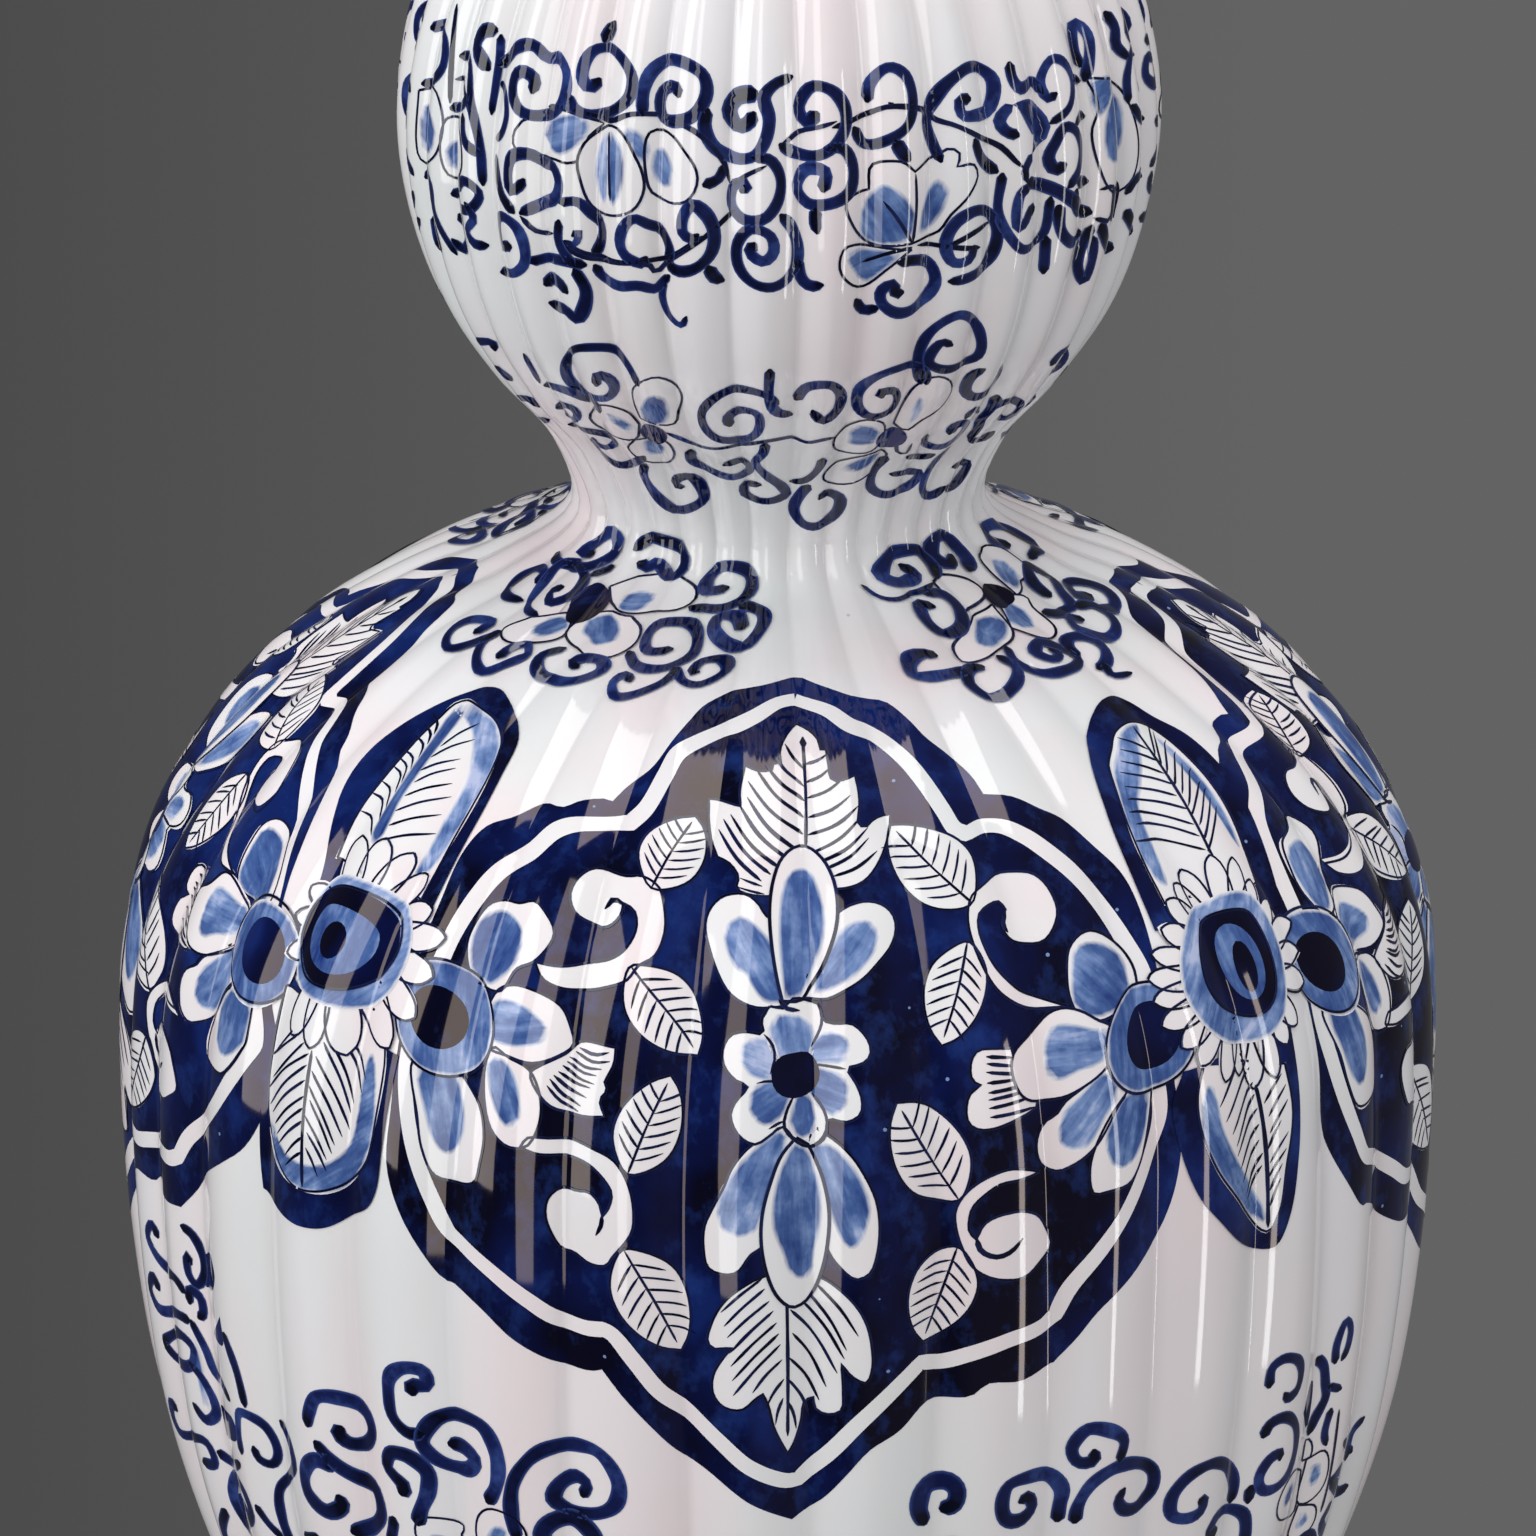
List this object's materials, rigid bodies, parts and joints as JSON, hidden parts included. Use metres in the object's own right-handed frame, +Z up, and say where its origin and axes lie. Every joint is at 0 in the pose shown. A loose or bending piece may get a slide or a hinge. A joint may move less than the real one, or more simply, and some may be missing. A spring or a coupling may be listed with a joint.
{
  "type": "vase",
  "caption": "Ribbed double-gourd vase in tin-glazed earthenware, with a wide shouldered body, a narrow waist, a round upper bulb and a slender flared neck.",
  "frame": {"origin": "centre of the foot ring's resting face", "axes": "+Z up along the axis of the vase, -Y through the middle of the front cartouche"},
  "size_m": [0.24, 0.24, 0.515],
  "materials": {
    "tin_glaze": "glossy off-white tin glaze over buff earthenware, with cobalt painting fired into it",
    "foot_clay": "foot ring glazed on its sides, with a wiped resting face of bare buff earthenware",
    "cobalt_paint": "cobalt blue painting under the same gloss, from pale wash to near-black outline"
  },
  "bodies": {
    "root": {"foot_ring": "foot_clay", "lower_body": "tin_glaze", "shoulder": "tin_glaze", "bulb": "tin_glaze", "neck": "tin_glaze", "lip": "tin_glaze"}
  },
  "joints": []
}
